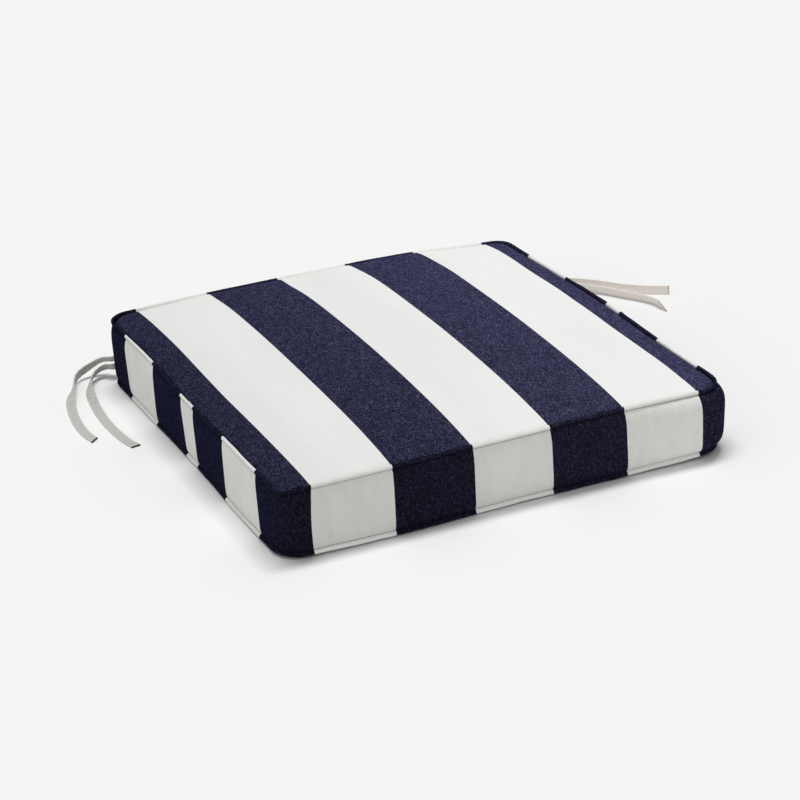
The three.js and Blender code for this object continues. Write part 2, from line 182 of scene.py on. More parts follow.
seams = {
    "width": 479 * mm,
    "depth": 490 * mm,
    "boxingHeight": 64 * mm,
    "bottomHeight": 7.7 * mm,
    "joinY": -8 * mm,
    "stepsHalfSide": 220,
    "stepsCorner": 32,
    "stepsEnd": 430,
}
halfSize = np.array([seams["width"], seams["depth"]]) / 2

# Millimetres, at the front left, front right, back right and back left
cornerRadii = {"top": (7, 29, 19, 23), "bottom": (31, 30, 28, 22)}

# At sixteen even steps from the join on the left, front corner first: millimetres, apart
# from the crease, which is a share of its depth
unevennessColumns = ("topRise", "bottomRise", "topBow", "bottomBow", "swell", "lean", "crease")
unevenness = {
    "left join": (-1.2, -2, 0, -4.6, 1.8, -0.5, 0.3),
    "left, front": (0.2, -2.2, 0, -2.6, 1.4, -0.6, 0.3),
    "front left": (0.6, -0.6, 0, -3, 1.1, -0.8, 0.6),
    "front, left": (0.9, -2.2, 0, -2.4, 2.3, -1.6, 1),
    "front middle": (1.8, -1.9, 0.5, -5.3, 3.2, -1.6, 1),
    "front, right": (2.2, -1.9, 0, -3.8, 4.5, -1.6, 1),
    "front right": (-0.6, 1, -0.4, -0.6, 9.4, 0.2, 0.5),
    "right, front": (-1.4, 0, -1, -1.5, 4.4, 0.9, 1),
    "right join": (-0.2, 0, -0.6, -1, 2.8, 0.9, 1),
    "right, back": (-3.8, 0, -1.6, -1, 2.8, 0.9, 1),
    "back right": (-7.8, 0, -2, -2, 3.1, 1.8, 1),
    "back, right": (0.2, 0, 0, 0, 2.8, 3.2, 1),
    "back middle": (2.1, 0, 0.5, 0.5, 2.4, 3.2, 1),
    "back, left": (2.8, -1, 0, 0, 2.4, 3.2, 1),
    "back left": (0.1, -2, 0, -1.4, 3.5, 0.8, 0.6),
    "left, back": (2.3, -2, -0.3, -2.8, 1.8, -0.4, 0.3),
}


def unevenAt(turn, column):
    # smooth closed curve through one column of the table
    values = np.array(list(unevenness.values()))[:, unevennessColumns.index(column)] * mm
    rows, weights = curveWeights(turn * len(values), len(values), closed=True)
    return (values[rows] * weights).sum(0)


def creaseAt(outline, stations):
    return seamValue(unevenAt(outline["turn"], "crease"), stations) / mm


def seamOutline(seam):
    halfWidth, halfDepth = halfSize
    frontLeft, frontRight, backRight, backLeft = np.array(cornerRadii[seam]) * mm
    places, normals = [], []

    def side(start, end, normal, steps):
        t = np.arange(steps)[:, None] / steps
        places.append(np.array(start) * (1 - t) + np.array(end) * t)
        normals.append(np.tile(normal, (steps, 1)))

    def corner(sideX, sideY, radius, startAngle):
        steps = seams["stepsCorner"]
        angle = startAngle + math.pi / 2 * np.arange(steps) / steps
        normal = np.stack([np.cos(angle), np.sin(angle)], 1)
        centre = np.array([sideX * (halfWidth - radius), sideY * (halfDepth - radius)])
        places.append(centre + normal * radius)
        normals.append(normal)

    halfSide, end = seams["stepsHalfSide"], seams["stepsEnd"]
    leftJoin = (-halfWidth, seams["joinY"])
    rightJoin = (halfWidth, seams["joinY"])
    side(leftJoin, (-halfWidth, frontLeft - halfDepth), (-1, 0), halfSide)
    corner(-1, -1, frontLeft, math.pi)
    side((frontLeft - halfWidth, -halfDepth), (halfWidth - frontRight, -halfDepth), (0, -1), end)
    corner(1, -1, frontRight, 1.5 * math.pi)
    side((halfWidth, frontRight - halfDepth), rightJoin, (1, 0), halfSide)
    side(rightJoin, (halfWidth, halfDepth - backRight), (1, 0), halfSide)
    corner(1, 1, backRight, 0)
    side((halfWidth - backRight, halfDepth), (backLeft - halfWidth, halfDepth), (0, 1), end)
    corner(-1, 1, backLeft, 0.5 * math.pi)
    side((-halfWidth, halfDepth - backLeft), leftJoin, (-1, 0), halfSide)
    place, normal = np.concatenate(places), np.concatenate(normals).astype(float)
    steps = np.linalg.norm(np.roll(place, -1, 0) - place, axis=1)
    travelled = np.concatenate([[0], np.cumsum(steps)])
    turn = travelled[:-1] / travelled[-1]
    place = place + normal * unevenAt(turn, seam + "Bow")[:, None]
    return {"place": place, "normal": normal, "turn": turn, "travelled": travelled}


top = seamOutline("top")
bottom = seamOutline("bottom")
stationCount = len(top["turn"])
bottomSeam = seams["bottomHeight"] + unevenAt(bottom["turn"], "bottomRise")
topSeam = seams["bottomHeight"] + seams["boxingHeight"] + unevenAt(top["turn"], "topRise")
swell = unevenAt(top["turn"], "swell")


def seamValue(values, stations):
    # values round a seam, read between its stations
    low = np.floor(stations).astype(int)
    t = stations - low
    if values.ndim > 1:
        t = t[..., None]
    return values[low % stationCount] * (1 - t) + values[(low + 1) % stationCount] * t


def seamHeights(stations):
    return seamValue(bottomSeam, stations), seamValue(topSeam, stations)


def travelledAt(outline, stations):
    return np.interp(stations, np.arange(stationCount + 1), outline["travelled"])


def swellAt(stations, level):
    power = np.where(level > 0.5, boxing["swellPower"]["top"], boxing["swellPower"]["bottom"])
    profile = 1 - np.abs(2 * level - 1) ** power
    lean = boxing["swellLow"] + (boxing["swellHigh"] - boxing["swellLow"]) * level
    return seamValue(swell, stations) * profile * lean


def wallPoints(stations, out, z):
    # out from the wall between the seams, at height z; arrays of one shape
    low, high = seamHeights(stations)
    level = np.clip((z - low) / (high - low), 0, 1)[..., None]
    place, normal = (
        seamValue(bottom[part], stations) * (1 - level) + seamValue(top[part], stations) * level
        for part in ("place", "normal")
    )
    return np.concatenate([place + unit(normal) * out[..., None], z[..., None]], -1)


# Stripes: where their edges lie on the panels, in millimetres, and the even stripe of the
# cloth that each edge belongs to; the stripes with an even number are white

stripeWidth = 83 * mm
panelStripes = {
    "cloth": (-3, -2, -1, 0, 1, 2, 3, 4),
    "front": (-287, -205.8, -123.5, -40.1, 42.6, 124, 206.8, 288),
    "middle": (-288.5, -205.8, -122.8, -39.8, 43.2, 126.2, 209.2, 291),
    "back": (-289, -206.3, -123.9, -40.1, 41.7, 125, 209.8, 292),
}


def panelAcross(x, y):
    # the cloth's measure across the stripes, for points of the top or bottom panel
    cloth = np.array(panelStripes["cloth"]) * stripeWidth
    front, middle, back = (
        np.interp(x, np.array(panelStripes[row]) * mm, cloth)
        for row in ("front", "middle", "back")
    )
    depth = np.clip(y / halfSize[1], -1, 1)
    return middle * (1 - depth ** 2) + np.where(depth < 0, front, back) * depth ** 2


# Filled body: crowned top panel, underside that rests flat, hidden wall behind the boxing

body = {
    "cellsAcross": 96,
    "cellsDeep": 98,
    "edgeCrowding": 0.62,
    "edgeInset": 2.0 * mm,
    "edgeRise": 2.6 * mm,
    "edgeCurl": 3.2 * mm,
    "edgeCurlReach": 4.5 * mm,
    "crown": 16 * mm,
    "crownPowerAcross": 2.5,
    "crownPowerDeep": 2.0,
    "restingShare": 0.6,
    "undersidePower": 1.7,
    "wallInset": 2.1 * mm,
    "wallRows": 6,
    "slackShare": 0.6,  # of the crown, before the filling pushes it up
    "frames": 20,
    "capRise": 9 * mm,
    "gatherDepth": 0.35 * mm,
    "gatherReach": 9 * mm,
    "gatherSize": 11 * mm,
    "fill": 0.8,
}

# The panel as a cloth under the filling's pressure
panelTension = {
    "quality": 8,
    "mass": 0.3,
    "tension_stiffness": 20,
    "compression_stiffness": 20,
    "shear_stiffness": 8,
    "bending_stiffness": 2,
    "use_pressure": True,
    "uniform_pressure_force": 4.0,
    "vertex_group_mass": "sewn",
}

# How much higher than an even crown the top lies, in millimetres, as the filling isn't
# spread evenly; rows run from the front to the back, columns from left to right
fillingLift = {
    "across": (-207.5, 207.5),
    "deep": (-240, 240),
    "rise": (
        (0.3, 1.2, 0.1, -0.4, -0.3, 0.7),
        (1.2, 1.7, 0.1, 0.5, 1.0, 2.9),
        (1.5, 1.0, 0, 0.3, 0.8, 2.6),
        (1.3, 0.5, 0, -0.1, 0.1, 1.6),
        (1.1, 0.7, 0.3, 0.3, 0.3, 1.3),
        (0.7, 0.4, 0.2, 1.1, 1.6, 2.9),
        (-2.4, 1.1, 0.5, 2.7, 4.0, 3.4),
        (-1.1, 2.2, 2.5, 5.2, 6.9, 5.7),
        (-0.8, 2.7, 2.0, 3.3, 4.2, 3.2),
    ),
}


def crownAt(place):
    share = np.minimum(1, np.abs(place) / halfSize)
    across = 1 - share[:, 0] ** body["crownPowerAcross"]
    deep = 1 - share[:, 1] ** body["crownPowerDeep"]
    return body["crown"] * across * deep


def fillingLiftAt(place, share):
    rise = np.array(fillingLift["rise"]) * mm
    read = []
    for axis, side in enumerate(("deep", "across")):
        low, high = np.array(fillingLift[side]) * mm
        steps = rise.shape[axis] - 1
        at = np.clip((place[:, 1 - axis] - low) / (high - low), 0, 1) * steps
        read.append(curveWeights(at, steps + 1))
    (rows, rowWeights), (columns, columnWeights) = read
    weights = rowWeights[:, None] * columnWeights[None]
    return (rise[rows[:, None], columns[None]] * weights).sum((0, 1)) * (1 - share ** 24)


def panelGrid(outline):
    # a grid of points with its edge on the outline: their places, the station that each lies
    # towards, and their share of the way from the middle, 0, to the seam, 1
    def crowded(cells):
        t = np.linspace(-1, 1, cells + 1)
        return (1 - body["edgeCrowding"]) * t + body["edgeCrowding"] * np.sin(math.pi / 2 * t)

    grid = np.meshgrid(crowded(body["cellsAcross"]), crowded(body["cellsDeep"]))
    grid = np.stack([side.ravel() for side in grid], 1)
    share = np.abs(grid).max(1)
    inset = outline["place"] - outline["normal"] * body["edgeInset"]
    seamAngle = np.unwrap(np.arctan2(inset[:, 1] / halfSize[1], inset[:, 0] / halfSize[0]))
    angle = np.arctan2(grid[:, 1], grid[:, 0])
    angle = np.where(angle < seamAngle[0], angle + 2 * math.pi, angle)
    loop = np.append(seamAngle, seamAngle[0] + 2 * math.pi)
    station = np.interp(angle, loop, np.arange(stationCount + 1))
    edge = seamValue(inset, station) * share[:, None]
    nearEdge = smooth(0.6, 1, share)[:, None]
    return grid * halfSize * (1 - nearEdge) + edge * nearEdge, station, share


def borderLoop(columns, rows):
    # grid points of the border, once around
    grid = np.arange(rows * columns).reshape(rows, columns)
    front, right, back, left = grid[0], grid[1:, -1], grid[-1, -2::-1], grid[-2:0:-1, 0]
    return np.concatenate([front, right, back, left]).tolist()


def edgeCurlAt(share):
    # the panel's edge rolls over into its seam
    inset = np.minimum(1, (1 - share) * halfSize[0] / body["edgeCurlReach"])
    return body["edgeCurl"] * (1 - np.sqrt(1 - (1 - inset) ** 2))


def makeBody():
    columns, rows = body["cellsAcross"] + 1, body["cellsDeep"] + 1
    topPlace, topStation, share = panelGrid(top)
    lowPlace, lowStation, _ = panelGrid(bottom)
    middleHeight = seams["bottomHeight"] + seams["boxingHeight"] + body["edgeRise"]
    edge = seamValue(topSeam, topStation) + body["edgeRise"]
    crown = crownAt(topPlace)
    topHeight = middleHeight + (edge - middleHeight) * share ** 2 + crown * body["slackShare"]
    topHeight += fillingLiftAt(topPlace, share)
    climb = np.clip((share - body["restingShare"]) / (1 - body["restingShare"]), 0, 1)
    lowEdge = seamValue(bottomSeam, lowStation) - body["edgeRise"]
    lowHeight = lowEdge * climb ** body["undersidePower"] + edgeCurlAt(share)
    topPoints = np.column_stack([topPlace, topHeight])
    lowPoints = np.column_stack([lowPlace, lowHeight])

    border = borderLoop(columns, rows)
    stations = topStation[border]
    low, high = seamHeights(stations)
    wall = []
    for row in range(1, body["wallRows"] + 1):
        level = np.full(len(border), 1 - row / (body["wallRows"] + 1))
        out = swellAt(stations, level) - body["wallInset"]
        wall.append(wallPoints(stations, out, low + (high - low) * level))
    points = np.concatenate([topPoints, lowPoints, *wall])
    count = len(topPoints)
    faces = gridFaces(rows, columns) + gridFaces(rows, columns, start=count)
    rings = [border]
    for row in range(body["wallRows"]):
        first = 2 * count + row * len(border)
        rings.append(list(range(first, first + len(border))))
    rings.append([index + count for index in border])
    for upper, lower in zip(rings, rings[1:]):
        faces += [(upper[i - 1], upper[i], lower[i], lower[i - 1]) for i in range(len(border))]
    piece = pieceFromMesh("cushion_filled", points, faces)

    full = crown * (1 - body["slackShare"])
    points[:count, 2] += riseFromFilling(piece, points, share, full)
    points[:count, 2] += seamGathers(topStation, share) - edgeCurlAt(share)
    setPoints(piece, points)
    subdivision = piece.modifiers.new("Subdivision", "SUBSURF")
    subdivision.levels = subdivision.render_levels = 1
    applyModifier(piece, subdivision)
    made = pointsOf(piece)
    setClothMap(piece, panelAcross(made[:, 0], made[:, 1]), made[:, 1])
    return piece


def riseFromFilling(piece, points, share, full):
    # the filling pushes the slack top panel up, and the sewn edge holds it
    count = len(share)
    free = share < 0.995
    group = piece.vertex_groups.new(name="sewn")
    sewn = np.ones(len(points), bool)
    sewn[:count] = ~free
    group.add(np.nonzero(sewn)[0].tolist(), 1.0, "REPLACE")
    modifier = piece.modifiers.new("Cloth", "CLOTH")
    for key, value in panelTension.items():
        setattr(modifier.settings, key, value)
    modifier.settings.effector_weights.gravity = 0
    modifier.point_cache.frame_end = body["frames"]
    for number in range(1, body["frames"] + 1):
        bpy.context.scene.frame_set(number)
    applyModifier(piece, modifier)
    bpy.context.scene.frame_set(1)
    rise = np.clip(pointsOf(piece)[:count, 2] - points[:count, 2], 0, None)
    print("  filling raised the top by", round(float(rise.max() / mm), 2), "mm")
    rise = body["capRise"] * (1 - np.exp(-rise / body["capRise"]))
    middle = share < 0.15
    return rise * full[middle].mean() / rise[middle].mean()


def seamGathers(station, share):
    # short gathers where the panel is eased into its seam
    inset = (1 - share) * halfSize[0]
    place = travelledAt(top, station)
    depth = body["gatherDepth"] * (0.6 + 0.4 * ripple(place, 90 * mm, 11))
    fade = np.exp(-inset / body["gatherReach"]) * smooth(0, 2 * mm, inset)
    return depth * fade * ripple(place, body["gatherSize"], 12)


# Boxing strips, with a fold of their own cloth stitched into a welt along each edge

boxing = {
    "thickness": 1.6 * mm,
    "weltHeight": {"top": 3.9 * mm, "bottom": 4.5 * mm},
    "weltThickness": 3.4 * mm,
    "bottomLean": 1.4 * mm,
    "weltStart": -1.25,  # turn of its section, in radians
    "weltSweep": 4.65,
    "weltSteps": 16,
    "weltSway": {  # length of a ripple and its strength
        "height": (40 * mm, 0.05),
        "stitches": (7 * mm, 0.035),
        "thickness": (9 * mm, 0.08),
        "lean": (50 * mm, 0.35 * mm),
    },
    "wallSteps": 44,
    "innerLevels": (0.985, 0.93, 0.7, 0.5, 0.3, 0.07, 0.015),
    "swellPower": {"top": 4.5, "bottom": 8},
    "swellLow": 0.92,
    "swellHigh": 1.1,
    "creaseDepth": {"top": 0.4 * mm, "bottom": 0.3 * mm},
    "creaseReach": 0.9 * mm,
    "dentDepth": {"top": 0.5 * mm, "bottom": 0.3 * mm},
    "dentPeak": 2.6 * mm,
    "dentSizes": (6.5 * mm, 3.4 * mm),
    "foldDepth": {"top": 0.4 * mm, "bottom": 0.15 * mm},
    "foldPeak": 7 * mm,
    "foldSize": 17 * mm,
    "waviness": 0.3 * mm,
    "waveSize": 70 * mm,
    "seamLineAndShade": 0.55 * mm,
    "joinRounding": 0.9 * mm,
    "joinGap": 0.15 * mm,
    "cut": (84 * mm, 970 * mm),
}

# Edges of the stripes along each strip from end to end, by side: Y on the left and right,
# X on the end between them, in millimetres; the low rows hold where they meet the bottom seam
stripStripes = {
    "front": {
        "cloth": (-5.18, -5, -4, -3, -2, -1, 0, 1, 2, 3, 4, 5, 6, 6.26),
        "left": (-8, -21, -103.1, -189.8),
        "low left": (-8, -12.6, -95, -186),
        "front": (-205.8, -123.5, -39.6, 42.6, 124, 206.8),
        "low front": (-206.3, -122.3, -37, 46.9, 128.2, 208.4),
        "right": (-189.3, -109.1, -28.7, -8),
    },
    "back": {
        "cloth": (6.1, 6, 5, 4, 3, 2, 1, 0, -1, -2, -3, -4, -5, -5.22),
        "right": (-8, 0.2, 91.8, 180.1),
        "back": (209.8, 125, 41.7, -40.1, -123.9, -206.3),
        "left": (181.6, 96.8, 13.8, -8),
        "low left": (181.6, 104, 18, -8),
    },
}

sideFacing = {"left": (-1, 0), "front": (0, -1), "right": (1, 0), "back": (0, 1)}
halfway = stationCount // 2
stripSpan = {"front": (0, halfway), "back": (halfway, stationCount)}


def stationsOn(outline, side, places, first, last):
    # stations at which the seam passes given places on one side
    stations = np.arange(first, last + 1)
    faces = outline["normal"][stations % stationCount] @ np.array(sideFacing[side]) > 0.7
    axis = 0 if side in ("front", "back") else 1
    reached = outline["place"][stations % stationCount][faces, axis]
    order = np.argsort(reached)
    return np.interp(np.array(places) * mm, reached[order], stations[faces][order])


def stripAcross(strip, outline, stations):
    # the cloth's measure across the stripes at stations along one seam
    table = stripStripes[strip]
    marks = []
    for side in table:
        if side in sideFacing:
            places = table[side]
            if outline is bottom:
                places = table.get("low " + side, places)
            marks.append(stationsOn(outline, side, places, *stripSpan[strip]))
    return np.interp(stations, np.concatenate(marks), np.array(table["cloth"]) * stripeWidth)


def creaseAndDents(place, distance, seam, seed, share):
    # the crease at the welt's foot, short narrow dents from the stitching, and longer soft
    # folds that run out of it
    crease = boxing["creaseDepth"][seam] * np.exp(-(distance / boxing["creaseReach"]) ** 2)
    strength = 0.6 + 0.4 * ripple(place, 60 * mm, seed)
    wide, fine = boxing["dentSizes"]
    narrow = smooth(-0.2, 0.9, ripple(place, wide, seed + 1))
    narrow = narrow + 0.5 * smooth(0, 0.9, ripple(place, fine, seed + 2))
    soft = ripple(place, boxing["foldSize"], seed + 3)
    nearness = distance / boxing["dentPeak"] * np.exp(1 - distance / boxing["dentPeak"])
    reach = distance / boxing["foldPeak"] * np.exp(1 - distance / boxing["foldPeak"])
    depth, fold = boxing["dentDepth"][seam], boxing["foldDepth"][seam]
    dents = depth * strength * narrow * nearness
    return fold * strength * soft * reach - (crease + dents) * share


def weltSection(place, seam, lean, share, seed):
    # the fold from its crease on the outside over the ridge to the inside
    k = np.linspace(0, 1, boxing["weltSteps"] + 1)
    angle = boxing["weltStart"] + boxing["weltSweep"] * k
    higher, pinched, thicker, tipped = (
        strength * ripple(place, length, seed + number)
        for number, (length, strength) in enumerate(boxing["weltSway"].values())
    )
    height = np.sqrt(boxing["weltHeight"][seam] ** 2 - lean ** 2) * (1 + higher) * (1 + pinched)
    thickness = boxing["weltThickness"] * (1 + thicker) * (0.7 + 0.3 * share)
    lean = lean + tipped
    up = height / 2 * (1 + np.sin(angle))
    out = thickness / 2 * np.cos(angle) + lean * up / height
    return (out, up) if seam == "top" else (out[:, ::-1], -up[:, ::-1])


def makeStrip(strip, seed):
    first, last = stripSpan[strip]
    ends = np.array([0, 0.12, 0.3, 0.55, 0.8])
    between = np.arange(first + 1, last)
    stations = np.concatenate([first + ends, between, last - ends[::-1]])[:, None]
    topPlace, lowPlace = travelledAt(top, stations), travelledAt(bottom, stations)
    low, high = seamHeights(stations)
    t = np.linspace(0, 1, boxing["wallSteps"] + 1)[None]
    level = 0.5 * t + 0.25 * (1 - np.cos(math.pi * t))
    fromTop, fromLow = (1 - level) * (high - low), level * (high - low)
    share = creaseAt(top, stations)
    wallOut = swellAt(stations, level)
    wallOut = wallOut + creaseAndDents(topPlace, fromTop, "top", seed, share)
    wallOut = wallOut + creaseAndDents(lowPlace, fromLow, "bottom", seed + 10, share)
    drift = ripple(topPlace + 0.4 * fromTop, boxing["waveSize"], seed + 20)
    drift = drift * np.sin(math.pi * level)
    wallOut = wallOut + boxing["waviness"] * drift
    lean = seamValue(unevenAt(top["turn"], "lean"), stations)
    lowOut, lowUp = weltSection(lowPlace, "bottom", boxing["bottomLean"], 1, seed + 30)
    topOut, topUp = weltSection(topPlace, "top", lean, share, seed + 40)
    innerLevel = np.array(boxing["innerLevels"])[None]
    innerOut = swellAt(stations, innerLevel) - boxing["thickness"]
    out = np.concatenate([lowOut, wallOut, topOut, innerOut], 1)
    wallUp, innerUp = (low + (high - low) * each for each in (level, innerLevel))
    z = np.concatenate([low + lowUp, wallUp, high + topUp, innerUp], 1)
    rows, columns = out.shape

    # the strip's ends turn in at the join, a little apart
    fromEnd = np.minimum(topPlace - topPlace[0], topPlace[-1] - topPlace)
    turned = 1 - np.minimum(1, fromEnd / boxing["joinRounding"])
    outer = columns - innerOut.shape[1]
    out[:, :outer] -= boxing["joinRounding"] * (1 - np.sqrt(1 - turned ** 2))
    spread = np.broadcast_to(stations, out.shape)
    points = wallPoints(spread, out, z)
    away = -1 if strip == "front" else 1
    points[[0, -1], :, 1] += away * boxing["joinGap"]
    piece = pieceFromMesh("boxing_strip_" + strip, points, tubeFaces(rows, columns))
    acrossTop, acrossLow = (stripAcross(strip, outline, stations) for outline in (top, bottom))
    levelAll = np.clip((z - low) / (high - low), 0, 1)
    across = acrossLow * (1 - levelAll) + acrossTop * levelAll
    steps = np.linalg.norm(np.diff(np.stack([out, z], 2), axis=1), axis=2)
    along = np.concatenate([np.zeros((rows, 1)), np.cumsum(steps, 1)], 1)
    setClothMap(piece, across.ravel(), along.ravel())
    # painted shade: a dark line in the crease just below the top seam, which also carries the
    # seam thread's colour on the white stripes
    fromSeam = np.abs(z - high + boxing["seamLineAndShade"])
    fromSeam[:, outer:] = seams["boxingHeight"]
    setShare(piece, "seamLineAndShade", np.exp(-(fromSeam / boxing["seamLineAndShade"]) ** 2).ravel())
    # painted highlight: the bottom welt is lighter where it faces the front
    fold = np.zeros(out.shape)
    fold[:, :lowOut.shape[1]] = np.clip(-seamValue(bottom["normal"][:, 1], stations), 0, 1)
    setShare(piece, "frontWeltHighlight", fold.ravel())
    return piece


cushionPiece = makeBody()
print("filled body made")
frontStrip, backStrip = makeStrip("front", 100), makeStrip("back", 200)
print("boxing strips made")


# Seam stitches: one stitch is modelled and copied along the foot of both welts

stitching = {
    "pitch": 3.66 * mm,
    "length": 2.3 * mm,
    "thread": 0.5 * mm,
    "out": {"top": -0.7 * mm, "bottom": 0.2 * mm},
    "fromSeam": {"top": -0.3 * mm, "bottom": 0.7 * mm},
    "slant": 4.0,  # degrees
    "sides": 6,
    "ends": ((0.3, 0.1, 0.9), (0.2, 0.35, 0.75)),  # how far on, how far in, how much narrower
    "unevenAlong": 0.12 * mm,
    "unevenUp": 0.08 * mm,
}


def selectFaces(piece, wanted):
    makeActive(piece)
    bpy.ops.object.mode_set(mode="EDIT")
    bpy.ops.mesh.select_mode(type="FACE")
    bpy.ops.mesh.select_all(action="DESELECT")
    bpy.ops.object.mode_set(mode="OBJECT")
    for face in piece.data.polygons:
        face.select = bool(wanted(face))


def makeStitch():
    # a thread that rises out of the cloth, lies along it and goes in again
    half = stitching["length"] / 2
    radius = stitching["thread"] / 2
    deselectAll()
    bpy.ops.mesh.primitive_cylinder_add(
        vertices=stitching["sides"], radius=radius, depth=half, end_fill_type="NGON",
        location=(0, 0, 0), rotation=(0, math.pi / 2, 0),
    )
    piece = bpy.context.object
    bpy.ops.object.transform_apply(location=True, rotation=True, scale=True)
    for sign in (1, -1):
        for forward, inward, narrower in stitching["ends"]:
            selectFaces(piece, lambda face: face.normal.x * sign > 0.5)
            bpy.ops.object.mode_set(mode="EDIT")
            bpy.ops.mesh.extrude_region_move(
                TRANSFORM_OT_translate={"value": (sign * half * forward, inward * 2 * radius, 0)}
            )
            bpy.ops.transform.resize(value=(1, narrower, narrower))
            bpy.ops.object.mode_set(mode="OBJECT")
    return piece


def copyAlong(pattern, name, places, along, out, up):
    # copies of one small mesh, joined; each stands in its own frame
    base = pointsOf(pattern)
    faces = [tuple(face.vertices) for face in pattern.data.polygons]
    points = places[:, None] + sum(
        base[None, :, axis, None] * direction[:, None]
        for axis, direction in ((0, along), (1, -out), (2, up))
    )
    allFaces = []
    for copy in range(len(places)):
        allFaces += [tuple(index + copy * len(base) for index in face) for face in faces]
    return linkMesh(name, points, allFaces)


def makeStitchRow(name, seam, outline, heights, seed):
    perimeter = outline["travelled"][-1]
    count = round(perimeter / stitching["pitch"])
    travelled = (np.arange(count) + 0.5) / count * perimeter
    travelled = travelled + stitching["unevenAlong"] * ripple(travelled, 8 * mm, seed)
    stations = np.interp(travelled, outline["travelled"], np.arange(stationCount + 1))
    z = seamValue(heights, stations) + stitching["fromSeam"][seam]
    z = z + stitching["unevenUp"] * ripple(travelled, 9 * mm, seed + 1)
    out = np.full(count, stitching["out"][seam])
    place = wallPoints(stations, out, z)
    outward = unit(wallPoints(stations, out + 1 * mm, z) - place)
    ahead = wallPoints(stations + 0.5, out, z) - place
    ahead = unit(ahead - outward * (ahead * outward).sum(1, keepdims=True))
    upward = np.cross(outward, ahead)
    lean = 1 + 0.5 * ripple(travelled, 6 * mm, seed + 2)[:, None]
    lean = math.radians(stitching["slant"]) * lean
    along = ahead * np.cos(lean) + upward * np.sin(lean)
    up = upward * np.cos(lean) - ahead * np.sin(lean)
    stitch = makeStitch()
    row = copyAlong(stitch, name, place, along, outward, up)
    onFront, onBack = (stripAcross(strip, outline, stations) for strip in stripSpan)
    across = np.where(stations < halfway, onFront, onBack)
    shares = len(row.data.vertices) // count
    setClothMap(row, np.repeat(across, shares), np.repeat(travelled, shares))
    bpy.data.objects.remove(stitch)
    return row


topStitches = makeStitchRow("stitches_top", "top", top, topSeam, 300)
lowStitches = makeStitchRow("stitches_bottom", "bottom", bottom, bottomSeam, 310)
print("stitches made")


# Ties: flat tapes from their sewn ends at the back boxing to their cut ends. Tilt turns a
# tape from standing on its edge, 0, to lying flat, 90 or -90.

tie = {
    "width": 10.5 * mm,
    "thickness": 1.15 * mm,
    "edgeRoll": 0.22 * mm,
    "step": 0.8 * mm,
    "across": 16,
    "crinkle": 0.5 * mm,
    "crinkleSizes": (7 * mm, 4.2 * mm),
    "crinkleStart": 0.2,  # share of the length
    "edgeSway": (14 * mm, 0.02),  # length of a ripple and its strength
    "cutEnd": 1.7 * mm,
}

# X, Y and height in millimetres and tilt in degrees; where two numbers stand alone, the tape
# lies flat on the floor
standing, lying = 5.25, (0.8, -90)
tieRoutes = {
    "tie_left_outer": (
        (-190, 252.6, 28.2, 0), (-206, 252.8, 26.2, -14), (-222, 253.6, 23.6, -28),
        (-235.1, 255, 20.2, -39), (-241.7, 261.4, 18.8, -41), (-247.2, 264.8, 17, -40),
        (-254.2, 266, 14, -28), (-261.9, 265.4, 11.2, -18), (-269.3, 262.8, 8.8, -10),
        (-276.6, 256.8, 7.3, -6), (-282.9, 246.7, 6, -9), (-289.3, 233.3, 5, -26),
        (-295.3, 221.2, 2.9, -60), (-300.1, 207.1, 1.2, -80), (-304.3, 190.4), (-307.7, 170.7),
        (-309.9, 150.5), (-310.3, 132), (-309.1, 117.2), (-306.7, 105.5),
    ),
    "tie_left_inner": (
        (-190, 250, 24.2, 0), (-206, 250.6, 20.2, -10), (-222.8, 249.8, 17.3, -20),
        (-237.6, 247.3, 14.5, -32), (-242.4, 254.5, 12.7, -37), (-248.4, 256.8, 10.9, -34),
        (-255.4, 254.2, 9, -24), (-262, 247.7, 7.2, -20), (-267.7, 238.8, 5.6, -22),
        (-272.4, 226.9, 3.9, -46), (-275.3, 213.5, 1.7, -76), (-277.8, 196.9), (-280.2, 176.3),
        (-281.7, 153.6), (-281.9, 130.5), (-280.6, 108), (-278.2, 87), (-273.9, 69.8),
    ),
    "tie_right_outer": (
        (190, 252.6, 30.2, 0), (206, 252.8, 27.7, -10), (222, 254, 23.2, -18),
        (238.9, 254.2, 18, -16), (258.6, 251.1, 11.3, -8), (279.9, 242.9, 6.6, 6),
        (299.6, 234, standing, 6), (316.5, 221.5, standing, 6), (330.5, 208.6, standing, 6),
        (343.4, 193.7, standing, 6), (355.4, 178.2, standing, 6), (368.3, 165.8, standing, 6),
        (382.3, 154.8, standing, 6), (398.2, 144.4, standing, 6),
    ),
    "tie_right_inner": (
        (190, 250, 28.2, 0), (206, 250.2, 22.2, -10), (220.5, 247.8, 16.6, -16),
        (236.5, 244.9, 11, -14), (253.2, 240.7, 7.1, -10), (272.7, 234, 5.4, -8),
        (292.6, 223.5, standing, -9), (308.6, 210.6, standing, -10),
        (322.5, 195.1, standing, -10), (334.9, 179.9, standing, -11),
        (344.5, 164.5, standing, -12), (355.2, 148.4, standing, -13), (362.5, 136.1, 5.2, -15),
        (367.3, 123.6, 5.2, -17), (368.3, 114.6, 5.1, -18), (368.4, 107.3, 5.1, -19),
    ),
}

# How far the cut at the free end slants to either side of its middle, in millimetres, and the
# share of the length where the crinkled part ends
tieEnds = {
    "tie_left_outer": (-3.2, 0.72),
    "tie_left_inner": (0.4, 0.68),
    "tie_right_outer": (0.3, 0.55),
    "tie_right_inner": (-6.8, 0.6),
}


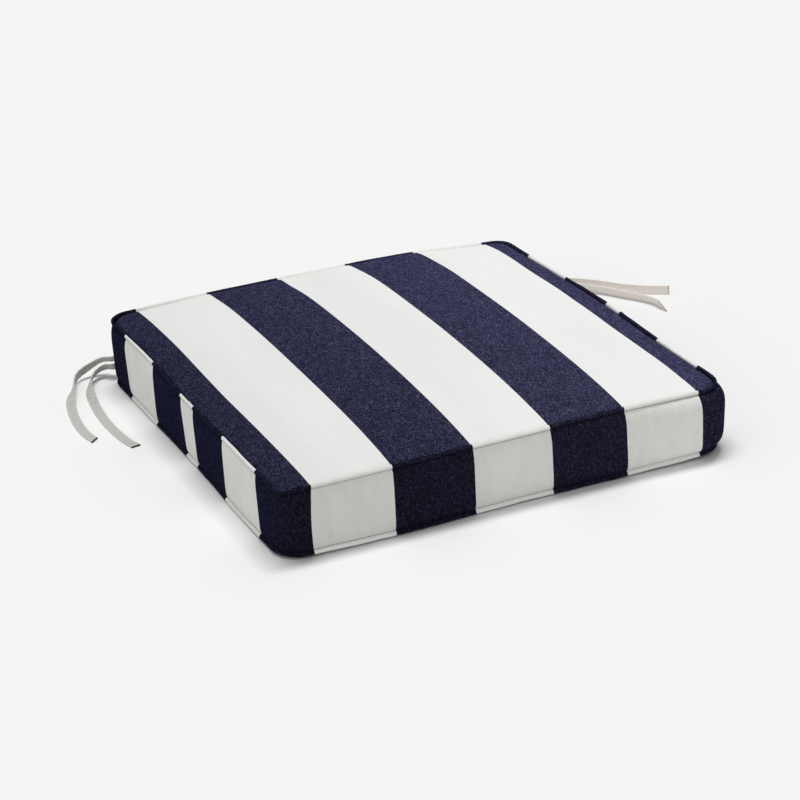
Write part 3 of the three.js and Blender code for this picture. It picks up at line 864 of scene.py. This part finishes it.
def smoothRoute(route):
    # even steps along a smooth curve through the route's points
    points = np.array([point if len(point) == 4 else point + lying for point in route], float)
    points[:, :3] *= mm
    ends = 2 * points[[0, -1]] - points[[1, -2]]
    points = np.concatenate([ends[:1], points, ends[1:]])
    reach = np.sqrt(np.linalg.norm(np.diff(points[:, :3], axis=0), axis=1))
    rows = []
    for i in range(1, len(points) - 2):
        a, b, c, d = points[i - 1:i + 3]
        before, here, after = reach[i - 1:i + 2]
        start = ((b - a) / before - (c - a) / (before + here) + (c - b) / here) * here
        end = ((c - b) / here - (d - b) / (here + after) + (d - c) / after) * here
        t = np.linspace(0, 1, 41)[:-1, None]
        bend = -3 * b + 3 * c - 2 * start - end
        twist = 2 * b - 2 * c + start + end
        rows.append(b + t * (start + t * (bend + t * twist)))
    rows = np.concatenate(rows + [points[-2:-1]])
    steps = np.linalg.norm(np.diff(rows[:, :3], axis=0), axis=1)
    travelled = np.concatenate([[0], np.cumsum(steps)])
    even = np.linspace(0, travelled[-1], round(travelled[-1] / tie["step"]) + 1)
    route = np.stack([np.interp(even, travelled, column) for column in rows.T], 1)
    return route[:, :3], np.radians(route[:, 3]), even


def makeTie(route, seed):
    place, tilt, travelled = smoothRoute(tieRoutes[route])
    length = travelled[-1]
    along = unit(np.gradient(place, axis=0))
    level = unit(np.stack([-along[:, 1], along[:, 0], np.zeros(len(along))], 1))
    upright = np.cross(along, level)
    turn = tilt[:, None] * np.sign(place[0, 0])
    widthWay = upright * np.cos(turn) + level * np.sin(turn)
    thickWay = np.cross(along, widthWay)

    # section: two flat faces with a sewn roll along each edge
    across = np.linspace(-1, 1, tie["across"] + 1)
    across = 0.5 * across + 0.5 * np.sin(math.pi / 2 * across)
    roll = tie["edgeRoll"] * np.exp(-((np.abs(across) - 0.84) / 0.09) ** 2)
    roundness = np.sqrt(1 - np.clip((np.abs(across) - 0.9) / 0.1, 0, 1) ** 2 * 0.95)
    half = (tie["thickness"] / 2 * (0.8 + 0.2 * roundness) + roll) * roundness
    width = np.concatenate([across, across[-2:0:-1]]) * tie["width"] / 2
    thick = np.concatenate([half, -half[-2:0:-1]])

    slant, end = tieEnds[route]
    slant = slant * mm
    start, share = tie["crinkleStart"], travelled / length
    crinkled = smooth(start, start + 0.1, share) * (1 - smooth(end - 0.2, end, share))
    skew = travelled[:, None] + width[None] * 0.5
    wide, fine = tie["crinkleSizes"]
    crease = ripple(skew, wide, seed) * 0.6 + ripple(skew - width[None], fine, seed + 1) * 0.4
    push = tie["crinkle"] * crinkled[:, None] * crease
    swayLength, sway = tie["edgeSway"]
    edge = 1 + sway * ripple(travelled, swayLength, seed + 2)[:, None]
    nearCut = smooth(length - abs(slant) * 3.2 - 1 * mm, length, travelled)
    ahead = slant * nearCut[:, None] * (width / width.max())[None]
    points = (
        place[:, None]
        + along[:, None] * ahead[..., None]
        + widthWay[:, None] * (width[None] * edge)[..., None]
        + thickWay[:, None] * (thick[None] + push)[..., None]
    )
    points[..., 2] = np.maximum(points[..., 2], 0.1 * mm)
    rows, columns = points.shape[:2]
    piece = pieceFromMesh(route + "_tape", points, tubeFaces(rows, columns))
    setClothMap(piece, np.tile(width, rows), np.repeat(travelled, columns))
    setShare(piece, "crinkled", np.repeat(crinkled, columns))
    setShare(piece, "toCutEnd", np.repeat(length - travelled, columns))
    print(" ", piece.name, round(length / mm, 1), "mm long")
    return piece, length


tiePieces = {
    route: makeTie(route, 400 + 10 * number) for number, route in enumerate(tieRoutes)
}
print("ties made")


# Materials: sums on sockets are written as plain expressions

class Value:
    def __init__(self, finish, socket):
        self.finish = finish
        self.socket = socket

    def join(self, operation, first, second):
        return self.finish.node("Math", {"operation": operation}, {0: first, 1: second})

    def __add__(self, other):
        return self.join("ADD", self, other)

    def __radd__(self, other):
        return self.join("ADD", other, self)

    def __sub__(self, other):
        return self.join("SUBTRACT", self, other)

    def __rsub__(self, other):
        return self.join("SUBTRACT", other, self)

    def __mul__(self, other):
        return self.join("MULTIPLY", self, other)

    def __rmul__(self, other):
        return self.join("MULTIPLY", other, self)

    def output(self, name):
        return Value(self.finish, self.socket.node.outputs[name])


class Finish:
    def __init__(self, name):
        self.material = bpy.data.materials.new(name)
        self.material.use_nodes = True
        self.tree = self.material.node_tree
        self.tree.nodes.clear()

    def node(self, kind, settings=None, values=None, output=0):
        made = self.tree.nodes.new("ShaderNode" + kind)
        for key, setting in (settings or {}).items():
            setattr(made, key, setting)
        for key, value in (values or {}).items():
            if isinstance(value, Value):
                self.tree.links.new(value.socket, made.inputs[key])
            else:
                made.inputs[key].default_value = value
        return None if output is None else Value(self, made.outputs[output])

    def clothPlace(self):
        place = self.node("UVMap", {"uv_map": "cloth"})
        parts = self.node("SeparateXYZ", None, {0: place})
        return place, parts.output("X"), parts.output("Y")

    def attribute(self, name):
        return self.node("Attribute", {"attribute_name": name}).output("Fac")

    def noise(self, place, scale, detail=2.0, roughness=0.5, stretch=(1, 1, 1), shift=0.0):
        values = {"Vector": place, "Scale": stretch, "Location": (shift, shift, shift)}
        moved = self.node("Mapping", None, values)
        values = {"Vector": moved, "Scale": scale, "Detail": detail, "Roughness": roughness}
        return self.node("TexNoise", None, values)

    def between(self, value, low, high):
        values = {"Value": value, "From Min": low, "From Max": high}
        return self.node("MapRange", {"clamp": True, "interpolation_type": "SMOOTHSTEP"}, values)

    def mix(self, share, first, second):
        return self.node("Mix", {"data_type": "RGBA"}, {0: share, 6: first, 7: second}, output=2)

    def onWhite(self, across, softness):
        # 1 on the white stripes and 0 on the navy ones
        values = {0: across - stripeWidth / 2, 1: stripeWidth}
        distance = self.node("Math", {"operation": "PINGPONG"}, values)
        half = stripeWidth / 2
        return 1 - self.between(distance, half - softness / 2, half + softness / 2)

    def wave(self, value, pitch):
        # 0 to 1 and back over one pitch
        turned = self.node("Math", {"operation": "SINE"}, {0: value * (2 * math.pi / pitch)})
        return turned * 0.5 + 0.5

    def weave(self, across, along, pitch):
        # high where one yarn lies over the other, low where it lies under it
        over, under = self.wave(across, 2 * pitch), self.wave(along, 2 * pitch)
        return over * under + (1 - over) * (1 - under)

    def shaded(self, values):
        shader = self.node("BsdfPrincipled", None, values)
        self.node("OutputMaterial", None, {"Surface": shader}, output=None)
        return self.material

    def surface(self, colour, roughness, height, look):
        values = {"Height": height, "Distance": look["bump"], "Strength": 1.0}
        bump = self.node("Bump", None, values)
        values = {"Base Color": colour, "Roughness": roughness, "Normal": bump}
        return self.shaded({**values, **look["shader"]})


def rgb(red, green, blue):
    # from the 0 to 255 of a picture to linear light
    shares = [level / 255 for level in (red, green, blue)]
    linear = [s / 12.92 if s <= 0.04045 else ((s + 0.055) / 1.055) ** 2.4 for s in shares]
    return (*linear, 1.0)


black = rgb(0, 0, 0)
stripedCloth = {
    "yarnPitch": 0.55 * mm,
    "fleckSize": 0.95 * mm,
    "patchSize": 3.5 * mm,
    "patchShare": 0.18,
    "fleckLevels": (0.5, 0.66),
    "darkLevels": (0.5, 0.3),
    "darkShade": 0.5,
    "yarnGlint": 0.15,
    "yarnShade": 0.03,
    "edgeSoftness": 0.5 * mm,
    "edgeWobble": 0.5 * mm,
    "wobbleSize": 3 * mm,
    "weltHighlightWhite": rgb(248, 248, 245),
    "seamThreadAndShadeOnWhite": rgb(146, 135, 129),
    "seamShadeOnNavy": rgb(6, 6, 10),
    "seamLineAndShadeShare": 0.75,
    "bump": 0.16 * mm,
    "roughness": 0.9,
    "yarnPolish": 0.12,
    "shader": {
        "Sheen Weight": 0.03,
        "Sheen Roughness": 0.4,
        "Sheen Tint": rgb(60, 90, 255),
        "Specular IOR Level": 0.0,
    },
}

# Colours of the white stripes, the navy ground and the navy flecks, each at the cushion's left
# side and at its right side. The lighter right side is painted light, and the navy's lightening
# towards the back is painted sheen
clothColours = {
    # painted sheen: the top panel's colours are lighter than the boxing's, though it is the same
    # cloth
    "panel": {
        "white": (rgb(226, 226, 224), rgb(241, 241, 239)),
        "navy": (rgb(19, 20, 34), rgb(33, 33, 54)),
        "fleck": (rgb(82, 84, 112), rgb(117, 117, 159)),
        "fleckStretch": (1, 0.65, 1),
        "wrinkleSize": 60 * mm,
        "wrinkleShade": 0.04,
    },
    "boxing": {
        "white": (rgb(222, 222, 217), rgb(236, 236, 232)),
        "navy": (rgb(17, 17, 27), rgb(25, 24, 39)),
        "fleck": (rgb(50, 50, 70), rgb(70, 68, 94)),
        "fleckStretch": (1, 1, 1),
        "wrinkleSize": 9 * mm,
        "wrinkleShade": 0.045,
    },
}


def makeStripedCloth(name, colours, shift):
    look = stripedCloth
    finish = Finish(name)
    place, across, along = finish.clothPlace()
    spot = finish.node("SeparateXYZ", None, {0: finish.node("TexCoord").output("Object")})
    reach = 0.46 * seams["width"]
    # painted light: the colours grow lighter towards the cushion's right side, and the navy also
    # towards the back
    paintedLight, paintedLightNavy = (
        finish.node("MapRange", {"clamp": True}, {0: place, 1: -reach, 2: reach})
        for place in (spot, spot + 0.2 * spot.output("Y"))
    )
    plain = finish.mix(paintedLight, *colours["white"])
    navy, light = (finish.mix(paintedLightNavy, *colours[yarns]) for yarns in ("navy", "fleck"))
    wobble = (finish.noise(place, 1 / look["wobbleSize"], shift=shift) - 0.5) * look["edgeWobble"]
    white = finish.onWhite(across + wobble, look["edgeSoftness"])

    pitch = look["yarnPitch"]
    weave = finish.weave(across, along, pitch)
    warp = finish.noise(place, 1 / (2 * pitch), 1, 0.5, (1, 0.07, 1), shift + 1)
    weft = finish.noise(place, 1 / (2 * pitch), 1, 0.5, (0.07, 1, 1), shift + 2)
    yarn = warp * weave + weft * (1 - weave)
    stretch = colours["fleckStretch"]
    fleckNoise = finish.noise(place, 1 / look["fleckSize"], 2, 0.6, stretch, shift + 3)
    patches = finish.noise(place, 1 / look["patchSize"], 2, 0.5, stretch, shift + 5)
    patchShare = look["patchShare"]
    mixed = fleckNoise * (1 - patchShare) + patches * patchShare
    fleck = finish.between(mixed, *look["fleckLevels"])
    dark = finish.between(fleckNoise, *look["darkLevels"])
    wrinkles = finish.noise(place, 1 / colours["wrinkleSize"], 2, 0.5, (1, 0.2, 1), shift + 4)

    navy = finish.mix(dark * look["darkShade"], navy, black)
    navy = finish.mix(fleck, navy, light)
    navy = finish.mix(finish.between(yarn, 0.35, 0.75) * look["yarnGlint"], navy, light)
    wrinkled = finish.between(wrinkles, 0.65, 0.3) * colours["wrinkleShade"]
    shade = finish.between(yarn, 0.65, 0.3) * look["yarnShade"] + wrinkled
    plain = finish.mix(shade, plain, black)
    # painted highlight on the bottom welt where it faces the front
    plain = finish.mix(finish.attribute("frontWeltHighlight"), plain, look["weltHighlightWhite"])
    colour = finish.mix(white, navy, plain)
    # painted shade in the crease below the top seam, with the seam thread's colour on the white
    # stripes
    seam = finish.mix(white, look["seamShadeOnNavy"], look["seamThreadAndShadeOnWhite"])
    colour = finish.mix(finish.attribute("seamLineAndShade") * look["seamLineAndShadeShare"], colour, seam)
    roughness = look["roughness"] - look["yarnPolish"] * yarn
    height = weave * 0.4 + yarn * 0.3 + fleckNoise * 0.5 + wrinkles * 1.5
    return finish.surface(colour, roughness, height, look)


thread = {
    "pale": rgb(150, 142, 136),
    "dark": rgb(112, 104, 100),
    "navy": rgb(24, 24, 36),
    "twist": 0.5 * mm,
    "roughness": 0.8,
    "bump": 0.05 * mm,
    "shader": {"Specular IOR Level": 0.1},
}


def makeThread():
    finish = Finish("seam_thread")
    across = finish.clothPlace()[1]
    strand = finish.noise(finish.node("TexCoord").output("Object"), 1 / thread["twist"], 2, 0.6)
    colour = finish.mix(finish.between(strand, 0.4, 0.7), thread["pale"], thread["dark"])
    onWhite = finish.onWhite(across, stripedCloth["edgeSoftness"])
    colour = finish.mix(onWhite, thread["navy"], colour)
    roughness = thread["roughness"] - 0.2 * strand
    return finish.surface(colour, roughness, strand, thread)


tapeWeave = {
    "yarnPitch": 0.5 * mm,
    "mottleSize": 4 * mm,
    "edge": (3.6 * mm, 4.6 * mm),  # from the tape's middle
    "raggedness": 0.8 * mm,
    "raggedSize": 0.9 * mm,
    "bump": 0.12 * mm,
    "roughness": 0.9,
    "shader": {"Sheen Weight": 0.15},
}

# painted light: the left ties get a shaded copy of the tape's colours and the right ties a lit
# copy
tapeColours = {
    "shadedTape": {
        "plain": rgb(190, 189, 184),
        "mottleAndShade": rgb(160, 156, 150),
        "edge": rgb(206, 205, 200),
        "cut": rgb(30, 29, 32),
    },
    "litTape": {
        "plain": rgb(246, 240, 232),
        "mottleAndShade": rgb(228, 217, 206),
        "edge": rgb(248, 243, 236),
        "cut": rgb(204, 190, 178),
    },
}


def makeTape(name, colours):
    look = tapeWeave
    finish = Finish(name)
    place, across, along = finish.clothPlace()
    pitch = look["yarnPitch"]
    weave = finish.weave(across, along, pitch)
    yarn = finish.noise(place, 1 / (2 * pitch), 2, 0.6, (1, 0.2, 1))
    mottle = finish.noise(place, 1 / look["mottleSize"], 3, 0.6)
    crinkled = finish.attribute("crinkled")
    distance = finish.node("Math", {"operation": "ABSOLUTE"}, {0: across})
    nearEdge = finish.between(distance, *look["edge"])
    # partly random tone and partly painted shade: the tape is mottled darker, most where it is
    # crinkled, and darker between its yarns
    mottleAndShade = finish.between(mottle, 0.4, 0.7) * (0.25 + 0.65 * crinkled)
    colour = finish.mix(mottleAndShade, colours["plain"], colours["mottleAndShade"])
    colour = finish.mix(finish.between(yarn, 0.6, 0.35) * 0.3, colour, colours["mottleAndShade"])
    colour = finish.mix(nearEdge * 0.5, colour, colours["edge"])
    # painted shade: the tape darkens at its cut end, where its open mouth lies in shade
    ragged = (finish.noise(place, 1 / look["raggedSize"]) - 0.5) * look["raggedness"]
    toCutEnd = finish.attribute("toCutEnd") + ragged
    cut = finish.between(toCutEnd, tie["cutEnd"], 0.8 * tie["cutEnd"])
    colour = finish.mix(cut, colour, colours["cut"])
    roughness, height = look["roughness"] - 0.1 * yarn, weave * 0.6 + yarn * 0.4
    return finish.surface(colour, roughness, height, look)


def dress(piece, material):
    piece.data.materials.clear()
    piece.data.materials.append(material)


dress(cushionPiece, makeStripedCloth("striped_cloth_panel", clothColours["panel"], 0))
stripCloth = makeStripedCloth("striped_cloth_boxing", clothColours["boxing"], 20)
for strip in (frontStrip, backStrip):
    dress(strip, stripCloth)
threadFinish = makeThread()
for row in (topStitches, lowStitches):
    dress(row, threadFinish)
tapes = {shade: makeTape("tie_tape_" + shade, colours) for shade, colours in tapeColours.items()}
for route, (piece, _) in tiePieces.items():
    dress(piece, tapes["shadedTape" if "left" in route else "litTape"])
print("materials made")


# Floor and light: a long soft bank above and a little behind, made of three suns side by side,
# and a weak fill from the front left; turn in degrees, strength and size in degrees

studio = {
    "floor": rgb(240, 240, 240),
    "floorSize": 40,
    "world": 0.38,
    "suns": {
        "left": ((-7, -12, 0), 0.5, 14),
        "middle": ((-7, 0, 0), 0.72, 14),
        "right": ((-7, 12, 0), 0.75, 14),
        "fill": ((22, -64, 0), 0.44, 50),
    },
}


def makeFloor():
    deselectAll()
    bpy.ops.mesh.primitive_plane_add(size=studio["floorSize"], location=(0, 0, 0))
    floor = bpy.context.object
    floor.name = "floor"
    values = {"Base Color": studio["floor"], "Roughness": 1.0, "Specular IOR Level": 0.0}
    dress(floor, Finish("studio_floor").shaded(values))


def makeLight():
    world = bpy.data.worlds.new("studio")
    world.use_nodes = True
    background = world.node_tree.nodes["Background"]
    background.inputs["Color"].default_value = (1, 1, 1, 1)
    background.inputs["Strength"].default_value = studio["world"]
    bpy.context.scene.world = world
    for side, (turn, strength, size) in studio["suns"].items():
        bpy.ops.object.light_add(type="SUN", location=(0, 0, 3))
        sun = bpy.context.object
        sun.name = "sun_" + side
        sun.data.energy = strength
        sun.data.angle = math.radians(size)
        sun.rotation_euler = [math.radians(angle) for angle in turn]


makeFloor()
makeLight()
print("floor and light made")


# Bodies and what each piece stands for; the slot listed for each piece is not given to it

pieces = [
    (cushionPiece, "panel_cloth", "cushion_body"),
    (frontStrip, "boxing_cloth", "boxing_front"),
    (backStrip, "boxing_cloth", "boxing_back"),
    (topStitches, "boxing_cloth", None),
    (lowStitches, "boxing_cloth", None),
    *((piece, "tie_tape", route) for route, (piece, _) in tiePieces.items()),
]
for piece, slot, node in pieces:
    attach(piece, "root")
    if node:
        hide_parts(node)
